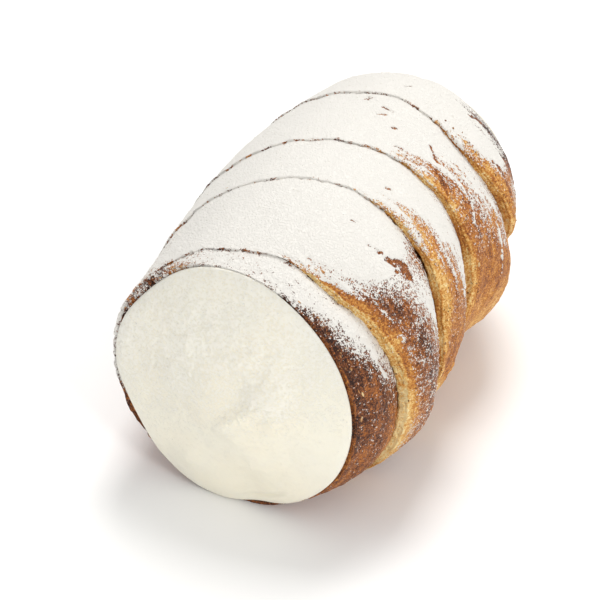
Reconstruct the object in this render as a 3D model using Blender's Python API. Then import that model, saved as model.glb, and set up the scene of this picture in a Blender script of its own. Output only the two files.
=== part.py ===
"""Cream roll: one strip of puff pastry wound into a tube and filled with stiff egg-white foam.

The roll lies on its side.  Its long axis runs along Y, the end that is looked at faces -Y, and
it rests on a small flat spot at z = 0.  Lengths below are in millimetres, angles in degrees.
Angles round the roll start at +X and turn towards +Z: 90 is the top and 180 the left side.
"""
import math

import bmesh
import bpy
import numpy as np

MM = 0.001

# The tube, measured over the crowns of the pastry turns, by distance behind the front rim.
LENGTH = 80.0
TURNS = 4
RIM_RADIUS = 27.0
BODY_RADII = ((0, RIM_RADIUS), (6.4, 28.7), (20, 31.4), (36, 30.9), (52, 29.0), (66, 27.3),
              (74, 24.8), (LENGTH, 21.0))
SIDE_SAG = ((0, 0.0), (6.4, 1.4), (20, 2.8), (36, 1.1), (52, -0.6), (66, 0.2), (LENGTH, -1.4))
OVAL = 0.06                 # the front rim is this share taller and narrower than a circle
UNDERSIDE = 0.93            # the lower half of each section is squashed to this share
FLAT_DEPTH = 2.6            # how much more the crowns have flattened where the roll rests
FLAT_SOFTNESS = 1.0         # height over which the round underside turns into the flat
RIM_TILT = 1.4              # the front rim leans back by this much
RIM_TILT_ANGLE = 20.0       # at this side
RIM_TILT_POWER = 1.5        # how soon the tilt dies out behind the rim
# The turns swell and shrink low on the right flank: share of the radius, by distance.
FLANK_SWELL = ((0, 0.0), (10, -0.01), (18, -0.03), (24, -0.02), (29.5, -0.12), (35, -0.10),
               (42, -0.05), (50, 0.015), (57, 0.07), (63, 0.05), (70, -0.12), (LENGTH, -0.19))
FLANK_ANGLE = -20.0          # where this is strongest
FLANK_SPREAD = 32.0

# The strip's leading edge: degrees wound so far, and distance behind the front rim.
WIND_START = 135.0
EDGE_PATH = ((0, 0.0), (22, 3.6), (45, 5.2), (64, 7.4), (100, 9.8), (125, 12.4), (157, 14.0),
             (250, 14.8), (345, 17.5), (374, 22.6), (407, 28.4), (434, 31.4), (464, 30.4),
             (484, 27.2), (600, 28.3), (712, 32.4), (742, 38.8), (763, 42.6), (787, 46.0),
             (814, 47.2), (838, 44.6), (852, 41.0), (960, 44.0), (1075, 57.5), (1118, 62.3),
             (1170, 62.0), (1205, 66.4), (1250, 72.5), (360 * TURNS, LENGTH))

# Each turn stands on the back of the turn before it, with a step at its leading edge.
STEP_HEIGHT = 1.2           # over the top, on the left and underneath
STEP_EXTRA = 2.4            # added on the right flank, where the layers have puffed open
STEP_EXTRA_ANGLE = 12.0
STEP_EXTRA_SPREAD = 42.0
STEP_GROWTH = 60.0          # degrees wound before the step has its full height
RIM_ROUNDING = 0.7          # depth of the rounded outer corner at both rims
TURN_PROFILE = ((0.0, 1.0), (0.03, 0.35), (0.11, 0.04), (0.32, 0.0), (0.6, 0.22), (0.84, 0.66),
                (1.0, 1.0))     # share of a turn's width, and share of the step's depth
PROFILE_CROWN = 0.5         # share of the width from which the depth is the next turn's

# The bore and the foam that fills it.
BORE_RADIUS = 16.5
RIM_WALL = 1.3              # thickness of the pastry at the rims, where the bore is widest
FLARE_DEPTH = 13.0          # distance behind a rim at which the bore is down to BORE_RADIUS
FLARE_ROWS = 4
FIT_GAP = 0.3               # between the foam and the pastry
FOAM_INSET = 0.7            # foam's edge inside the outer edge of the rim
BARE_RIM = 1.5              # and this much more where the rim shows beside the foam
BARE_RIM_ANGLE = 138.0
BARE_RIM_SPREAD = 34.0
FRONT_DOME = 3.4            # height of each dome over its shoulder
BACK_DOME = 1.6
SHOULDER_LOW = 0.6          # foam standing proud of the rim at its flattest side
SHOULDER_HIGH = 2.4         # and where it has swelled over the rim
SHOULDER_ANGLE = 245.0      # where it has swelled the most
SHOULDER_POWER = 3.2        # squareness of the shoulder's rounding
DOME_ROWS = 8

COLUMNS = 64                # facets round the roll
AXIS_HEIGHT = max(radius for _, radius in BODY_RADII) * UNDERSIDE - FLAT_DEPTH

SHARP_ANGLE = math.radians(38)      # folds between facets up to this look smooth

CRUST_COLOUR = (0.50, 0.27, 0.11, 1.0)
CRUST_ROUGHNESS = 0.75
FOAM_COLOUR = (0.90, 0.88, 0.80, 1.0)
FOAM_ROUGHNESS = 0.45


def read_curve(knots, place):
    """Value at a place of the smooth curve through (place, value) knots."""
    places, values = np.array(knots, dtype=float).T
    slopes = np.gradient(values, places)
    left = int(np.clip(np.searchsorted(places, place, side="right") - 1, 0, len(places) - 2))
    width = places[left + 1] - places[left]
    t = float(np.clip((place - places[left]) / width, 0.0, 1.0))
    rise = values[left + 1] - values[left]
    eased = t * t * (3 - 2 * t)
    leaving = slopes[left] * width * t * (1 - t) ** 2
    arriving = slopes[left + 1] * width * t * t * (1 - t)
    return float(values[left] + rise * eased + leaving - arriving)


def angle_between(angle, other):
    """Smallest turn from one angle to another, never negative."""
    return abs((angle - other + 180.0) % 360.0 - 180.0)


def column_angle(column):
    """Angle round the roll of a column of vertices; the strip winds clockwise seen from -Y."""
    return WIND_START - 360.0 * column / COLUMNS


def roll_point(angle, distance, radius):
    """Point at an angle round the roll, a distance behind the front rim and a radius."""
    direction = math.radians(angle)
    behind = min(max(distance / LENGTH, 0.0), 1.0)
    offset = angle_between(angle, FLANK_ANGLE) / FLANK_SPREAD
    radius *= 1 + read_curve(FLANK_SWELL, behind * LENGTH) * math.exp(-offset * offset)
    oval = OVAL * (1 - behind)
    x = read_curve(SIDE_SAG, behind * LENGTH) + radius * (1 - oval) * math.cos(direction)
    rise = radius * (1 + oval) * math.sin(direction)
    height = AXIS_HEIGHT + (rise if rise > 0 else rise * UNDERSIDE)
    if height < FLAT_SOFTNESS:
        height = max(height + FLAT_SOFTNESS, 0.0) ** 2 / (4 * FLAT_SOFTNESS)
    lean = RIM_TILT * radius / RIM_RADIUS * (1 - behind) ** RIM_TILT_POWER
    lean *= math.cos(math.radians(angle - RIM_TILT_ANGLE))
    return np.array((x, distance - LENGTH / 2 + lean, height))


def edge_line(wound):
    """Distance and foot depth of the leading edge; before and after the strip, the two rims."""
    if wound < 0:
        return 0.0, RIM_ROUNDING
    if wound >= 360 * TURNS:
        return LENGTH, RIM_ROUNDING
    offset = angle_between(WIND_START - wound, STEP_EXTRA_ANGLE) / STEP_EXTRA_SPREAD
    full = STEP_HEIGHT + STEP_EXTRA * math.exp(-offset * offset)
    growth = min(1.0, wound / STEP_GROWTH, (360 * TURNS - wound) / STEP_GROWTH)
    return read_curve(EDGE_PATH, wound), RIM_ROUNDING + (full - RIM_ROUNDING) * growth


def turn_points(column):
    """Points across one turn, from its own leading edge to the foot of the next one."""
    wound = 360.0 * column / COLUMNS - 360.0
    start, start_depth = edge_line(wound)
    end, end_depth = edge_line(wound + 360.0)
    points = []
    for share, depth_share in TURN_PROFILE:
        distance = start + (end - start) * share
        depth = (start_depth if share < PROFILE_CROWN else end_depth) * depth_share
        points.append(roll_point(column_angle(column), distance,
                                 read_curve(BODY_RADII, distance) - depth))
    return points


def bore_radius(distance):
    """Radius of the bore, flared at both rims."""
    inwards = min(distance, LENGTH - distance) / FLARE_DEPTH
    rim = read_curve(BODY_RADII, 0.0 if distance < LENGTH / 2 else LENGTH) - RIM_WALL
    flare = max(0.0, 1.0 - inwards) ** 2
    return BORE_RADIUS + (rim - RIM_ROUNDING - BORE_RADIUS) * flare


def bore_distances():
    """Distances behind the front rim of the loops of vertices along the bore."""
    front = [FLARE_DEPTH * row / FLARE_ROWS for row in range(FLARE_ROWS + 1)]
    return front + [LENGTH - distance for distance in reversed(front)]


def make_object(name, bm, colour, roughness):
    """Turn a bmesh into a smooth-shaded object with its own material."""
    bmesh.ops.recalc_face_normals(bm, faces=bm.faces)
    mesh = bpy.data.meshes.new(name)
    bm.to_mesh(mesh)
    bm.free()
    mesh.shade_smooth()
    mesh.set_sharp_from_angle(angle=SHARP_ANGLE)
    material = bpy.data.materials.new(name)
    material.use_nodes = True
    shader = material.node_tree.nodes["Principled BSDF"]
    shader.inputs["Base Color"].default_value = colour
    shader.inputs["Roughness"].default_value = roughness
    shader.inputs["Metallic"].default_value = 0.0
    mesh.materials.append(material)
    item = bpy.data.objects.new(name, mesh)
    bpy.context.scene.collection.objects.link(item)
    return item


def add_face(bm, corners):
    """Add a face, leaving out corners that fall on the same vertex."""
    kept = list(dict.fromkeys(corners))
    if len(kept) > 2:
        bm.faces.new(kept)


def join_loops(bm, first, second):
    """Wall of quads between two closed loops of vertices."""
    for column in range(len(first)):
        after = (column + 1) % len(first)
        add_face(bm, (first[column], first[after], second[after], second[column]))


def add_loop(bm, distance, radius_at):
    """Closed loop of vertices round the roll, with a radius that may change with the angle."""
    angles = [column_angle(column) for column in range(COLUMNS)]
    return [bm.verts.new(roll_point(angle, distance, radius_at(angle)) * MM) for angle in angles]


def make_pastry():
    """The wound strip: stepped turns outside, a flared bore inside."""
    bm = bmesh.new()
    last_column = COLUMNS * (TURNS + 1)
    last_row = len(TURN_PROFILE) - 1
    grid = []
    for column in range(last_column + 1):
        points = turn_points(column)
        shared = column in (0, last_column)     # the strip starts and ends in a point
        if column < COLUMNS:
            first = bm.verts.new(points[0] * MM)
        else:
            first = grid[column - COLUMNS][last_row]
        verts = [first] + [first if shared else bm.verts.new(point * MM)
                           for point in points[1:]]
        grid.append(verts)
    # A turn's last row is the foot of the next turn, so those two share their vertices.
    for column in range(last_column):
        for row in range(last_row):
            add_face(bm, (grid[column][row], grid[column + 1][row],
                          grid[column + 1][row + 1], grid[column][row + 1]))
    front_rim = [grid[column][0] for column in range(COLUMNS)]
    back_rim = [grid[column][last_row] for column in range(last_column - COLUMNS, last_column)]
    loops = [front_rim]
    loops += [add_loop(bm, distance, lambda _, d=distance: bore_radius(d))
              for distance in bore_distances()]
    loops.append(back_rim)
    for first, second in zip(loops, loops[1:]):
        join_loops(bm, first, second)
    return make_object("pastry", bm, CRUST_COLOUR, CRUST_ROUGHNESS)


def shoulder_height(angle):
    """How far the foam stands proud of a rim at its edge."""
    swell = (1 + math.cos(math.radians(angle_between(angle, SHOULDER_ANGLE)))) / 2
    return SHOULDER_LOW + (SHOULDER_HIGH - SHOULDER_LOW) * swell


def foam_inset(angle):
    """How far the foam's edge stays inside the outer edge of the rim."""
    offset = angle_between(angle, BARE_RIM_ANGLE) / BARE_RIM_SPREAD
    return FOAM_INSET + BARE_RIM * math.exp(-offset * offset)


def add_dome(bm, rim, outwards, dome):
    """Loops of one domed foam end, from its top to the edge behind the rim."""
    middle = (SHOULDER_LOW + SHOULDER_HIGH) / 2
    loops = []
    for row in range(1, DOME_ROWS + 1):
        share = math.sin(math.pi / 2 * row / DOME_ROWS)
        rounding = max(0.0, 1 - share ** SHOULDER_POWER) ** (1 / SHOULDER_POWER)
        loop = []
        for column in range(COLUMNS):
            angle = column_angle(column)
            swell = middle + (shoulder_height(angle) - middle) * share ** 2
            height = FIT_GAP + swell * rounding + dome * (1 - share ** 2)
            edge_radius = read_curve(BODY_RADII, rim) - foam_inset(angle)
            point = roll_point(angle, rim + outwards * height, edge_radius * share)
            loop.append(bm.verts.new(point * MM))
        loops.append(loop)
    top_height = FIT_GAP + middle + dome
    top = bm.verts.new(roll_point(0.0, rim + outwards * top_height, 0.0) * MM)
    for column in range(COLUMNS):
        add_face(bm, (top, loops[0][column], loops[0][(column + 1) % COLUMNS]))
    inner_radius = bore_radius(rim) - FIT_GAP
    loops.append(add_loop(bm, rim + outwards * FIT_GAP, lambda _: inner_radius))
    return loops


def make_foam():
    """The filling: it runs through the bore and ends in a dome over each rim."""
    bm = bmesh.new()
    front = add_dome(bm, 0.0, -1, FRONT_DOME)
    back = add_dome(bm, LENGTH, 1, BACK_DOME)
    core = [add_loop(bm, distance, lambda _, d=distance: bore_radius(d) - FIT_GAP)
            for distance in bore_distances()]
    loops = front + core + back[::-1]
    for first, second in zip(loops, loops[1:]):
        join_loops(bm, first, second)
    return make_object("foam", bm, FOAM_COLOUR, FOAM_ROUGHNESS)


def settle(items):
    """Move the finished shapes so that their common box is centred over the origin."""
    corners = np.array([vertex.co for item in items for vertex in item.data.vertices])
    low, high = corners.min(axis=0), corners.max(axis=0)
    for item in items:
        for vertex in item.data.vertices:
            vertex.co.x -= (low[0] + high[0]) / 2
            vertex.co.y -= (low[1] + high[1]) / 2
            vertex.co.z -= low[2]


def main():
    """Build the roll in an empty scene."""
    for item in list(bpy.data.objects):
        bpy.data.objects.remove(item, do_unlink=True)
    settle([make_pastry(), make_foam()])


if __name__ == "__main__":
    main()
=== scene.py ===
"""The looks of a cream roll: wound puff pastry under powdered sugar, filled with egg-white foam.

Lengths are in millimetres and angles in degrees, until a mesh is made.  Angles round the roll
start at +X and turn towards +Z, so 90 is the top and 0 the flank on the right.  "Wound" counts
the degrees along the strip of dough; before 0 the strip's front edge is the front rim itself.
"""
import itertools
import math
from types import SimpleNamespace

import bpy
import numpy as np
from mathutils import Matrix, Vector


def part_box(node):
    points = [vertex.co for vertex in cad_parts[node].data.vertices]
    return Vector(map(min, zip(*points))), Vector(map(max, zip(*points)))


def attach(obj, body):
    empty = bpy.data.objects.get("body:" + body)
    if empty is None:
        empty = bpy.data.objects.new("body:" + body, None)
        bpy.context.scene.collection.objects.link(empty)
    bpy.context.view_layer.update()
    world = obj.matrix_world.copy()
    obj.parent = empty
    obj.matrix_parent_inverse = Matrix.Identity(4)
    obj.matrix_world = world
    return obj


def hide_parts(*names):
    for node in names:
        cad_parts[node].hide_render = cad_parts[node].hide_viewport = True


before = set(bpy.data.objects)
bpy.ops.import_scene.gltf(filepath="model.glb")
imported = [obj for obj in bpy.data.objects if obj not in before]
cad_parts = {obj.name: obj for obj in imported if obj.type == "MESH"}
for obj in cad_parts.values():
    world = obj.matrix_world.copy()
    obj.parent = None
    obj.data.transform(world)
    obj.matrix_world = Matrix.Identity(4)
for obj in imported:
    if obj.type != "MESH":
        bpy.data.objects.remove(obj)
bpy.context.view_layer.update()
MM = 0.001

# ---------------------------------------------------------------- the roll's form, as in the CAD
LENGTH = 80.0
TURNS = 4
RIM_RADIUS = 27.0
BODY_RADII = ((0, RIM_RADIUS), (6.4, 28.7), (20, 31.4), (36, 30.9), (52, 29), (66, 27.3),
              (74, 24.8), (LENGTH, 21))
SIDE_SAG = ((0, 0), (6.4, 1.4), (20, 2.8), (36, 1.1), (52, -0.6), (66, 0.2), (LENGTH, -1.4))
OVAL = 0.06
UNDERSIDE = 0.93
FLAT_DEPTH = 2.6
FLAT_SOFTNESS = 1.0
RIM_TILT = 1.4
RIM_TILT_ANGLE = 20.0
RIM_TILT_POWER = 1.5
FLANK_SWELL = ((0, 0), (10, -0.01), (18, -0.03), (24, -0.02), (29.5, -0.12), (35, -0.1),
               (42, -0.05), (50, 0.015), (57, 0.07), (63, 0.05), (70, -0.12), (LENGTH, -0.19))
FLANK_ANGLE = -20.0
FLANK_SPREAD = 32.0
WIND_START = 135.0
LAST_WOUND = 360.0 * TURNS
EDGE_PATH = ((0, 0), (22, 3.6), (45, 5.2), (64, 7.4), (100, 9.8), (125, 12.4), (157, 14),
             (250, 14.8), (345, 17.5), (374, 22.6), (407, 28.4), (434, 31.4), (464, 30.4),
             (484, 27.2), (600, 28.3), (712, 32.4), (742, 38.8), (763, 42.6), (787, 46),
             (814, 47.2), (838, 44.6), (852, 41), (960, 44), (1075, 57.5), (1118, 62.3), (1170, 62),
             (1205, 66.4), (1250, 72.5), (LAST_WOUND, LENGTH))
STEP_HEIGHT = 1.2
STEP_EXTRA = 2.4
STEP_EXTRA_ANGLE = 12.0
STEP_EXTRA_SPREAD = 42.0
STEP_GROWTH = 60.0
RIM_ROUNDING = 0.7
TURN_PROFILE = ((0, 1), (0.03, 0.35), (0.11, 0.04), (0.32, 0), (0.6, 0.22), (0.84, 0.66), (1, 1))
PROFILE_CROWN = 0.5
BORE_RADIUS = 16.5
RIM_WALL = 1.3
FLARE_DEPTH = 13.0
FIT_GAP = 0.3
FOAM_INSET = 0.7
BARE_RIM = 1.5
BARE_RIM_ANGLE = 138.0
BARE_RIM_SPREAD = 34.0
FRONT_DOME = 3.4
BACK_DOME = 1.6
SHOULDER_LOW = 0.6
SHOULDER_HIGH = 2.4
SHOULDER_ANGLE = 245.0
SHOULDER_POWER = 3.2
CAD_COLUMNS = 64
AXIS_HEIGHT = max(radius for _, radius in BODY_RADII) * UNDERSIDE - FLAT_DEPTH

# Stretches round the roll: middle angle, reach to both sides, and fade after that.
TOP = (112.0, 30.0, 30.0)
RIGHT_FLANK = (15.0, 60.0, 30.0)
GRAINS_LIE = (80.0, 90.0, 30.0)
CRUMBS_LIE = (28.0, 18.0, 34.0)

# ---------------------------------------------------------------- fine form of the strip
LIP_ROWS = 17  # rows of vertices up the cut front edge and over its corner
CROWN_ROWS = 70  # rows from there to the foot of the next turn
SEEN_STEP = 0.52  # degrees between columns where the roll is mostly looked at
UNDER_STEP = 1.0  # and on its underside
SEEN_ANGLES = (-35, 190)
# Over the top, sugar leaves about this share of each edge's step.
STEP_ON_TOP = (0.2, 0.06, 0.18, 0.18, 0.2)
# The edges' crumbly waver, and how unevenly sugar fills them: height, size in degrees wound and
# seed.
WAVERS = ((0.26, 9.0, 3), (0.14, 3.1, 5), (0.12, 1.3, 7))
STEP_WAVER = (0.9, 7.0, 9)
WAVER_GROWTH = 20.0  # degrees over which the waver grows from the strip's two ends
RIM_FADE = 12.0  # and over which a rim turns into an edge that lies on the last turn
BACK_RIM_START = 1.6  # times that before the strip's last turn starts
# How far the edges' feet stray from the CAD's lines, by degrees wound.
FOOT_SHIFT = ((56, 0), (66, -0.9), (74, -1.3), (84, -1), (96, -0.2), (106, 0.1), (120, 0),
              (135, -0.4), (160, -0.3), (185, 0), (490, 0), (504, 0.6), (516, 3), (528, 6.4),
              (545, 7.4), (600, 5.4), (645, 2), (685, 0), (806, 0), (822, 0.8), (838, 2.6),
              (852, 5.2), (880, 5.6), (920, 4.2), (970, 1.6), (1000, 0))
# And how far the low right flank's radius strays, as a share of it, by distance.
SWELL_SHIFT = ((0, 0), (22, 0), (26, 0), (29, 0.02), (32, 0.06), (37, 0.06), (41, 0.01),
               (45, -0.045), (50, -0.06), (56, -0.04), (61, -0.015), (66, 0), (LENGTH, 0))
LEAST_WIDTH = 0.3  # of a turn, where the strip tapers away
LIP_POWER = 2.5  # squareness of the rounding over the cut edge
LIP_REACH = 0.7  # how far back it reaches: this, and this much of the edge's height,
LIP_REACH_PER_STEP = 0.62
LIP_WIDEST = 0.4  # but no more than this share of the turn's width
BELLY_START = 0.3  # share of a turn's width where it starts to slope to the next foot
BELLY_POWER = 1.6
# Hidden rows behind the cut edge and under the next turn: reach and drop from the edge's foot,
# where the strip lies on the turn before it, and where it ends at a rim.
TUCK_ON_TURN = ((0.45, 0.3), (2, 0.8), (4.6, 1.5), (4.6, 2.3))
TUCK_AT_RIM = ((0.02, 0.8), (0.3, 1.9), (1.2, 2.9), (2.4, 3.2))
TUCK_CLEARANCE = 0.25  # extra drop under the next turn
TUCK_END = LENGTH - 0.8  # and they stay short of the back rim
PIECE_CUTS = (-357.0, 225.0, 585.0, 945.0, 1434.0)  # the inner cuts are under the roll

# ---------------------------------------------------------------- sugar, bake and painted shade on the strip
# On the right flank, for each turn: the angle down to which sugar lies, by distance behind the
# turn's edge.
SUGAR_ENDS = (
    ((0, 64), (1.5, 46), (5, 26), (9, 15), (14, 6)),
    ((0, 70), (0.7, 62), (1.6, 54), (2.2, 62), (3, 57), (4, 49), (6, 38), (9, 25), (12, 13),
     (18, 0)),
    ((0, 54), (2, 50), (4, 42), (7, 30), (10, 22), (13, 14)),
    ((0, 52), (2, 51), (5, 46), (8, 36), (11, 30), (14, 20), (18, 12)),
    ((0, 50), (2, 44), (4, 26), (7, 22), (8.4, 38), (10, 50), (16, 55)))
SUGAR_FADE = 16.0
STREAKS = (0.2, 0.4, 0.7, 0.9, 0.8)  # how streaky the sugar is along each turn's right flank
THREADS = (0, 0.9, 0.65, 0.55, 0)  # how flaky each turn is beside the next one's edge
THREAD_GAP = 0.85  # from one flaky layer to the next
SUGAR_LEFT_END = 198.0  # and on the left flank, the same for all turns
SUGAR_LEFT_FADE = 16.0
SUGAR_DEPTH = 0.26
SUGAR_SHARE = (0.78, 1, 0.98, 0.98, 0.96)  # how closed each turn's sugar coat is
FLANK_DUST = (0.16, 0.3, 0.18, 0.24, 0.34)  # strewn over each turn's whole right flank
CLEAN_BELOW = (-99, -99, 4, 12, 12)  # down to about this angle
# How far up each turn's cut edge shows bare, by angle: 1 is its foot, 0 its corner.
CUT_BARE = (
    ((10, 0.1), (50, 0.2), (70, 0.8), (110, 0.92), (130, 0.6), (150, 0.7), (165, 0.92),
     (186, 0.92), (196, 0.2)),
    ((10, 0.04), (56, 0.05), (68, 0.3), (85, 0.65), (100, 0.86), (150, 0.8)),
    ((10, 0.04), (30, 0.05), (45, 0.45), (60, 0.75), (80, 0.9), (150, 0.86)),
    ((10, 0.06), (25, 0.12), (40, 0.4), (60, 0.55), (76, 0.8), (150, 0.84)),
    ((10, 0.04), (38, 0.05), (47, 0.45), (60, 0.55), (78, 0.7), (92, 0.9), (150, 0.86)))
# And how unbroken that bare line is through the sugar, by angle.
EDGE_BARE = (
    ((60, 1), (78, 0.8), (95, 0.4), (110, 0.2), (128, 0.2), (140, 0.3), (152, 0.5)),
    ((62, 1), (85, 1), (100, 0.8), (112, 0.7), (130, 0.95), (180, 0.8)),
    ((50, 1), (64, 0.8), (75, 0.3), (120, 0.2), (135, 0.5), (180, 0.8)),
    ((45, 1), (60, 0.95), (75, 0.8), (100, 0.6), (120, 0.75), (140, 0.9)),
    ((45, 1), (76, 0.98), (84, 0.6), (95, 0.4), (110, 0.3), (125, 0.6), (150, 0.9)))
# How dark each turn is baked on its right flank, by distance behind its edge: 0 is raw dough,
# 1 nearly black.
BAKE = (
    ((0, 0.92), (2, 0.86), (6, 0.84), (10, 0.76)),
    ((0, 0.42), (1.6, 0.5), (2.4, 0.62), (3.2, 0.68), (4.4, 0.78), (8, 0.8), (12, 0.74),
     (18, 0.66)),
    ((0, 0.34), (2.2, 0.4), (3.6, 0.54), (8, 0.58), (12, 0.55)),
    ((0, 0.38), (1, 0.5), (3, 0.62), (6, 0.6), (9, 0.54), (12, 0.54)),
    ((0, 0.34), (2, 0.4), (5, 0.55), (8, 0.84), (18, 0.92)))
CUT_BAKE = (0.78, 0.1, 0.28, 0.34, 0.3)  # and on the cut edge itself, from its foot
LIP_BAKE = (0.8, 0.38, 0.36, 0.42, 0.36)  # to its corner
CUT_SHARE = 0.26  # of the edge's height, which the first one takes
# The open layers are sunk into pits, which are also painted darker as painted shade.
CUT_PITS = (0.2, 0.22, 0.1, 0.1, 0.1)  # how open the layers are there
# Where the third turn's edge stands off the second turn, by angle.
# Along it the gap is sunk, bare of sugar and painted nearly black, which is painted shade.
GAP = ((9, 0), (13, 1), (23, 0.9), (27, 0.2), (32, 0.2), (34, 0.45), (43, 0.6), (46, 0))
GAP_TURN = 2
GAP_DEPTH = 0.6
LOW_FLANK_PALER = 0.14
OTHER_BAKE = 0.64  # on the underside and the left flank
TOP_EDGE_BAKE = 0.72  # in the thin seams over the top
# The strip's relief: each noise's height, size and seed, and the depth of each mark.
BLISTERS = (0.30, 3.2, 21)
SMALL_BLISTERS = (0.12, 0.9, 22)
WAVES = (0.22, 9.0, 24)
POWDER = (0.05, 0.6, 23)
LEDGE_DEPTH = 0.35
LAYER_DEPTH = 0.07
PIT_DEPTH = 1.0
STREAK_DEPTH = 0.2
THREAD_DEPTH = 0.16
# Sizes of the patches that its sugar and bake come in.
MOTTLE_SIZE = 6.0
SPECKLE_SIZE = 1.6
DOT_SIZE = 0.9
STREAK_SIZE = 1.0
MM_PER_DEGREE = 0.52  # round the flank
STREAK_STRETCH = 7.0  # how much longer streaks are than wide

# Single marks on the right flank, each a turn and its line of (angle, distance, half width).
BARE_MARKS = (
    (1, ((38, 21.9, 0), (42, 21.6, 1.2), (46, 21.2, 1.6), (51, 20.1, 0.9), (57, 19.4, 0.5),
         (64, 17.6, 0))),
    (0, ((15, 7.4, 0), (24, 5.2, 0.5), (33, 3.6, 0))),
    (3, ((38, 46.4, 0), (43, 47.4, 0.5), (50, 49.6, 0.9), (58, 50.2, 0))),
    (4, ((18, 67, 0), (26, 66.8, 0.7), (36, 66.4, 0.8), (44, 64.8, 0))))
SUGAR_MARKS = (
    (0, ((10, 9.4, 0), (13, 9.1, 0.6), (20, 7.6, 0.8), (27, 6.7, 0.9), (36, 5.7, 1), (46, 5.2, 1),
         (56, 5.4, 0))),
    (1, ((16, 13.6, 0), (24, 13.2, 0.25), (34, 12.4, 0.35), (46, 11.2, 0.4), (58, 10.4, 0))),
    (1, ((10, 21, 0), (17, 21.8, 0.4), (25, 22.5, 0.5), (32, 23.2, 0.6), (39, 23.9, 0.5),
         (46, 25, 0))),
    (2, ((8, 34.8, 0), (16, 37.4, 0.5), (26, 38.6, 0.7), (36, 39.4, 0.8), (46, 42.6, 0))),
    (3, ((26, 61.6, 0), (32, 62.4, 0.7), (38, 62.8, 0.8), (43, 61, 0.9), (50, 58, 0))),
    (3, ((26, 50.2, 0), (29, 50.8, 0.9), (33, 52.4, 0.8), (37, 53.6, 0))),
    (3, ((-6, 56, 0), (4, 57.4, 0.5), (14, 58.4, 0.6), (22, 58.6, 0))))
MARK_SOFTNESS = 0.5
# Small cracks in the sugar on top: (angle, distance) of both ends, and half width.
CRACKS = (((98.5, 59), (95.5, 60.4), 0.2), ((96, 59), (98, 60.6), 0.16),
          ((88, 57.8), (83, 57.4), 0.28), ((87.5, 55), (84, 55.8), 0.22),
          ((99.5, 75.4), (98.5, 77.4), 0.14), ((90, 68.4), (88, 69.2), 0.18),
          ((77.8, 52.9), (76.8, 53.1), 0.34), ((62, 54.9), (60, 53.9), 0.26),
          ((59, 53.5), (56, 52), 0.34), ((60, 71.6), (56, 72.9), 0.4),
          ((55, 73.6), (51.5, 74.8), 0.5), ((72, 47.9), (69, 48.3), 0.16),
          ((66, 34.6), (64.5, 34.9), 0.24), ((70, 21), (68, 21.4), 0.14))
# The bare patch at the left of the front rim: from angle to angle, and how far back.
LEFT_PATCH = (106, 158, 3.6)
PATCH_BAKE = 0.58
BARE_BAKE = 0.74  # in the marks and cracks


# ---------------------------------------------------------------- numbers: curves and noise
def read_curve(knots, place):
    """Values at places along the smooth curve through (place, value) knots."""
    places, values = np.array(knots, dtype=float).T
    slopes = np.gradient(values, places)
    left = np.clip(np.searchsorted(places, place, side="right") - 1, 0, len(places) - 2)
    width = places[left + 1] - places[left]
    t = np.clip((place - places[left]) / width, 0.0, 1.0)
    rise = values[left + 1] - values[left]
    bends = slopes[left] * (1 - t) - slopes[left + 1] * t
    return values[left] + rise * t * t * (3 - 2 * t) + bends * width * t * (1 - t)


def ease(value):
    """0 up to 0, 1 from 1, and a smooth ramp between."""
    t = np.clip(value, 0.0, 1.0)
    return t * t * (3 - 2 * t)


def mix(first, second, share):
    """First where share is 0, second where it is 1."""
    return first + (second - first) * share


def random_at(cells, seed):
    """Random numbers from 0 to 1, one for each whole-numbered cell."""
    mixed = cells @ np.array((73856093, 19349663, 83492791), dtype=np.int64) + seed * 374761393
    mixed = (mixed ^ (mixed >> 13)) * 1274126177
    mixed = (mixed ^ (mixed >> 15)) * 668265263
    return ((mixed ^ (mixed >> 17)) & 0xFFFF) / 0xFFFF


OCTAVES = 3
SKEW = np.array(Matrix.Rotation(0.7, 3, (0.5, 0.3, 0.8)))  # keeps noise off the axes


def noise(points, size, seed):
    """Smooth noise from 0 to 1, with bumps about one size across."""
    scaled = points @ SKEW / size
    low = np.floor(scaled).astype(np.int64)
    part = ease(scaled - low)
    total = np.zeros(points.shape[:-1])
    for corner in itertools.product((0, 1), repeat=3):
        weight = np.prod(np.where(corner, part, 1 - part), axis=-1)
        total += weight * random_at(low + corner, seed)
    return total


def rough(points, size, seed):
    """Noise from 0 to 1 with finer and finer bumps added."""
    total, whole, share = 0.0, 0.0, 1.0
    for octave in range(OCTAVES):
        total = total + share * noise(points, size / 2 ** octave, seed + 31 * octave)
        whole += share
        share /= 2
    return ease((total / whole - 0.18) / 0.64)


def bumps(points, height, size, seed):
    """Rough noise around 0, as high as this in all."""
    return height * (rough(points, size, seed) - 0.5)


def line_noise(place, height, size, seed):
    """Smooth noise along a line, as high as this to both sides of 0."""
    points = np.stack((place, np.zeros_like(place), np.zeros_like(place)), axis=-1)
    return height * (2 * noise(points, size, seed) - 1)


# ---------------------------------------------------------------- numbers: the roll
def angle_between(angle, other):
    """Smallest turn from one angle to another, never negative."""
    return np.abs((angle - other + 180.0) % 360.0 - 180.0)


def falloff(angle, middle, spread):
    """1 at a middle angle round the roll, and less and less to both sides."""
    offset = angle_between(angle, middle) / spread
    return np.exp(-offset * offset)


def around(angle, middle, reach, fade):
    """1 as far as this reach to both sides of a middle angle, then fading to 0."""
    return 1 - ease((angle_between(angle, middle) - reach) / fade)


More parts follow.
